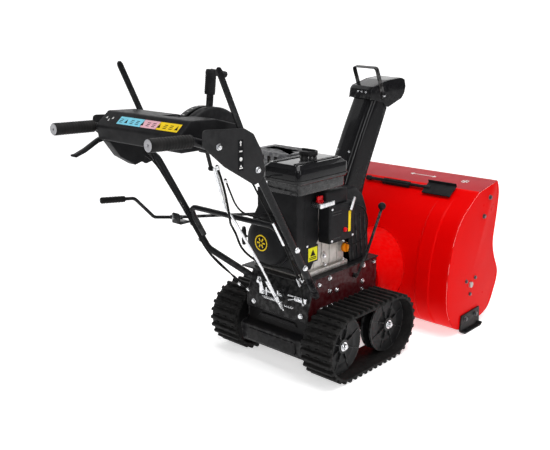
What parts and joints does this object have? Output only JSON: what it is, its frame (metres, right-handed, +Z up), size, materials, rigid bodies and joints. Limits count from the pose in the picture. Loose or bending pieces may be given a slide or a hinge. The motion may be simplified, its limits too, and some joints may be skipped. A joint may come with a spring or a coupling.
{
  "type": "two stage snowblower",
  "caption": "Walk-behind two stage snowblower on rubber tracks, with auger housing, turning discharge chute, engine and control handles.",
  "frame": {"origin": "on the ground, in the middle of the machine's overall length and width", "axes": "+Z up, -Y towards the auger opening at the front, +Y towards the operator, +X to the machine's left"},
  "size_m": [0.774, 1.7789, 1.1496],
  "materials": {
    "red_paint": "gloss",
    "black_steel": "satin",
    "dark_bolts": "satin",
    "cast_metal": "matte",
    "bare_steel": "satin",
    "zinc": "satin",
    "dark_red_steel": "satin",
    "track_rubber": "matte",
    "wheel_black": "satin",
    "cast_alloy": "matte",
    "black_plastic": "matte",
    "gloss_black": "gloss",
    "tank_plastic": "gloss",
    "grey_steel": "matte",
    "red_plastic": "gloss",
    "orange_plastic": "gloss",
    "belt_rubber": "matte",
    "black_tube": "satin",
    "cable_black": "satin",
    "plate_grey": "matte",
    "grip_rubber": "matte"
  },
  "bodies": {
    "machine": {"housing_shell": "red_paint", "housing_cheeks": "red_paint", "impeller_drum": "red_paint", "scraper_bar": "black_steel", "skid_shoes": "black_steel", "housing_bolts": "dark_bolts", "chute_collar": "black_steel", "gearbox": "cast_metal", "chassis_tub": "black_steel", "engine_deck": "black_steel", "zinc_bolts": "zinc", "track_frames": "dark_red_steel", "track_belt_left": "track_rubber", "track_belt_right": "track_rubber", "crankcase": "cast_alloy", "cylinder_block": "cast_alloy", "fan_shroud": "black_plastic", "recoil_cover": "black_plastic", "fuel_tank": "tank_plastic", "muffler": "bare_steel", "muffler_guard": "grey_steel", "control_box": "black_plastic", "belt_cover": "black_plastic", "drive_belt": "belt_rubber", "handle_tubes": "black_tube", "crossbar": "black_tube", "handle_cables": "cable_black", "engine_cables": "cable_black", "dash_panel": "black_plastic", "dash_belly": "black_plastic", "gear_quadrant": "black_plastic", "side_plates": "plate_grey", "hand_grips": "grip_rubber", "tool_clips": "black_plastic"},
    "auger": {"auger_shaft": "bare_steel", "auger_left": "black_steel", "auger_right": "black_steel"},
    "impeller": {"impeller": "black_steel"},
    "engine_crank": {"drive_pulley": "cast_metal"},
    "drive_wheel_left": {"drive_wheel_left": "wheel_black"},
    "drive_wheel_right": {"drive_wheel_right": "wheel_black"},
    "idler_wheel_left": {"idler_wheel_left": "wheel_black"},
    "idler_wheel_right": {"idler_wheel_right": "wheel_black"},
    "recoil_handle": {"recoil_handle": "black_plastic"},
    "fuel_cap": {"fuel_cap": "black_plastic"},
    "ignition_key": {"ignition_key": "red_plastic"},
    "primer_button": {"primer_button": "red_plastic"},
    "choke_lever": {"choke_lever": "zinc"},
    "oil_cap": {"oil_cap": "orange_plastic"},
    "height_lever": {"height_lever": "black_steel"},
    "shift_lever": {"shift_lever": "black_plastic"},
    "shift_rod": {"shift_rod": "zinc"},
    "clutch_lever_left": {"clutch_lever_left": "black_tube"},
    "clutch_lever_right": {"clutch_lever_right": "black_tube"},
    "steer_trigger": {"steer_trigger": "black_plastic"},
    "crank_handle": {"crank_handle": "black_tube"},
    "crank_shaft": {"crank_shaft": "black_tube"},
    "chute": {"chute": "gloss_black"},
    "deflector": {"deflector": "gloss_black"},
    "cleanout_tool": {"cleanout_tool": "black_plastic"}
  },
  "joints": [
    {"name": "engine_spin", "type": "hinge", "parent": "machine", "child": "engine_crank", "pos_m": [0, -0.235, 0.503], "axis": [0, 1, 0], "continuous": true},
    {"name": "impeller_spin", "type": "hinge", "parent": "machine", "child": "impeller", "pos_m": [0, -0.235, 0.255], "axis": [0, 1, 0], "continuous": true},
    {"name": "auger_spin", "type": "hinge", "parent": "machine", "child": "auger", "pos_m": [0, -0.655, 0.2], "axis": [1, 0, 0], "continuous": true},
    {"name": "drive_wheel_left_spin", "type": "hinge", "parent": "machine", "child": "drive_wheel_left", "pos_m": [0.234, 0.072, 0.13], "axis": [1, 0, 0], "continuous": true},
    {"name": "drive_wheel_right_spin", "type": "hinge", "parent": "machine", "child": "drive_wheel_right", "pos_m": [-0.234, 0.072, 0.13], "axis": [1, 0, 0], "continuous": true},
    {"name": "idler_wheel_left_spin", "type": "hinge", "parent": "machine", "child": "idler_wheel_left", "pos_m": [0.234, -0.21, 0.13], "axis": [1, 0, 0], "continuous": true},
    {"name": "idler_wheel_right_spin", "type": "hinge", "parent": "machine", "child": "idler_wheel_right", "pos_m": [-0.234, -0.21, 0.13], "axis": [1, 0, 0], "continuous": true},
    {"name": "recoil_pull", "type": "slide", "parent": "machine", "child": "recoil_handle", "axis": [1, 0, 0], "range_m": [0, 0.11]},
    {"name": "fuel_cap_turn", "type": "hinge", "parent": "machine", "child": "fuel_cap", "pos_m": [-0.104, 0.09, 0.815], "axis": [0, 0, 1], "range_deg": [0, 90]},
    {"name": "ignition_key_turn", "type": "hinge", "parent": "machine", "child": "ignition_key", "pos_m": [-0.15, 0.08, 0.645], "axis": [0, 0, 1], "range_deg": [-60, 0]},
    {"name": "primer_push", "type": "slide", "parent": "machine", "child": "primer_button", "axis": [1, 0, 0], "range_m": [0, 0.006], "stiffness_N_per_m": 300},
    {"name": "choke_turn", "type": "hinge", "parent": "machine", "child": "choke_lever", "pos_m": [-0.175, -0.06, 0.61], "axis": [1, 0, 0], "range_deg": [-50, 0]},
    {"name": "oil_cap_turn", "type": "hinge", "parent": "machine", "child": "oil_cap", "pos_m": [-0.14, -0.084, 0.446], "axis": [1, 0, 0], "range_deg": [0, 90]},
    {"name": "height_lever_tilt", "type": "hinge", "parent": "machine", "child": "height_lever", "pos_m": [-0.16, -0.13, 0.326], "axis": [1, 0, 0], "range_deg": [-14, 10]},
    {"name": "shift_lever_tilt", "type": "hinge", "parent": "machine", "child": "shift_lever", "pos_m": [-0.062, 0.53, 0.88], "axis": [1, 0, 0], "range_deg": [-18, 18]},
    {"name": "shift_rod_slide", "type": "slide", "parent": "machine", "child": "shift_rod", "axis": [0, 0.5345, 0.8452], "range_m": [-0.02, 0.02]},
    {"name": "clutch_lever_left_press", "type": "hinge", "parent": "machine", "child": "clutch_lever_left", "pos_m": [0.229, 0.53, 0.932], "axis": [1, 0, 0], "range_deg": [-49, 0], "stiffness_Nm_per_rad": 0.6, "springref_deg": 51.57},
    {"name": "clutch_lever_right_press", "type": "hinge", "parent": "machine", "child": "clutch_lever_right", "pos_m": [-0.229, 0.53, 0.932], "axis": [1, 0, 0], "range_deg": [-49, 0], "stiffness_Nm_per_rad": 0.6, "springref_deg": 51.57},
    {"name": "steer_trigger_squeeze", "type": "hinge", "parent": "machine", "child": "steer_trigger", "pos_m": [0.211, 0.7, 0.921], "axis": [1, 0, 0], "range_deg": [0, 16], "stiffness_Nm_per_rad": 0.6, "springref_deg": -34.38},
    {"name": "crank_handle_turn", "type": "hinge", "parent": "machine", "child": "crank_handle", "pos_m": [0.28, 0.374, 0.577], "axis": [0, 0.982, 0.1888], "range_deg": [-1080, 1080]},
    {"name": "crank_shaft_turn", "type": "hinge", "parent": "machine", "child": "crank_shaft", "pos_m": [0.28, 0.374, 0.577], "axis": [0.1298, 0.9828, 0.1313], "range_deg": [-1080, 1080]},
    {"name": "chute_turn", "type": "hinge", "parent": "machine", "child": "chute", "pos_m": [0.112, -0.346, 0.446], "axis": [0, 0, 1], "range_deg": [-74, 106]},
    {"name": "deflector_tilt", "type": "hinge", "parent": "chute", "child": "deflector", "pos_m": [0.06514, -0.50941, 0.98], "axis": [0.9613, -0.2756, 0], "range_deg": [0, 40]},
    {"name": "cleanout_tool_lift", "type": "slide", "parent": "machine", "child": "cleanout_tool", "axis": [0, 0.5343, 0.8453], "range_m": [0, 0.06]}
  ],
  "couplings": [
    {"joint": "impeller_spin", "follows": "engine_spin", "ratio": 0.5},
    {"joint": "auger_spin", "follows": "engine_spin", "ratio": 0.05},
    {"joint": "idler_wheel_left_spin", "follows": "drive_wheel_left_spin", "ratio": 1},
    {"joint": "idler_wheel_right_spin", "follows": "drive_wheel_right_spin", "ratio": 1},
    {"joint": "crank_handle_turn", "follows": "chute_turn", "ratio": -10},
    {"joint": "crank_shaft_turn", "follows": "chute_turn", "ratio": -10},
    {"joint": "shift_rod_slide", "follows": "shift_lever_tilt", "m_per_rad": 0.045}
  ]
}
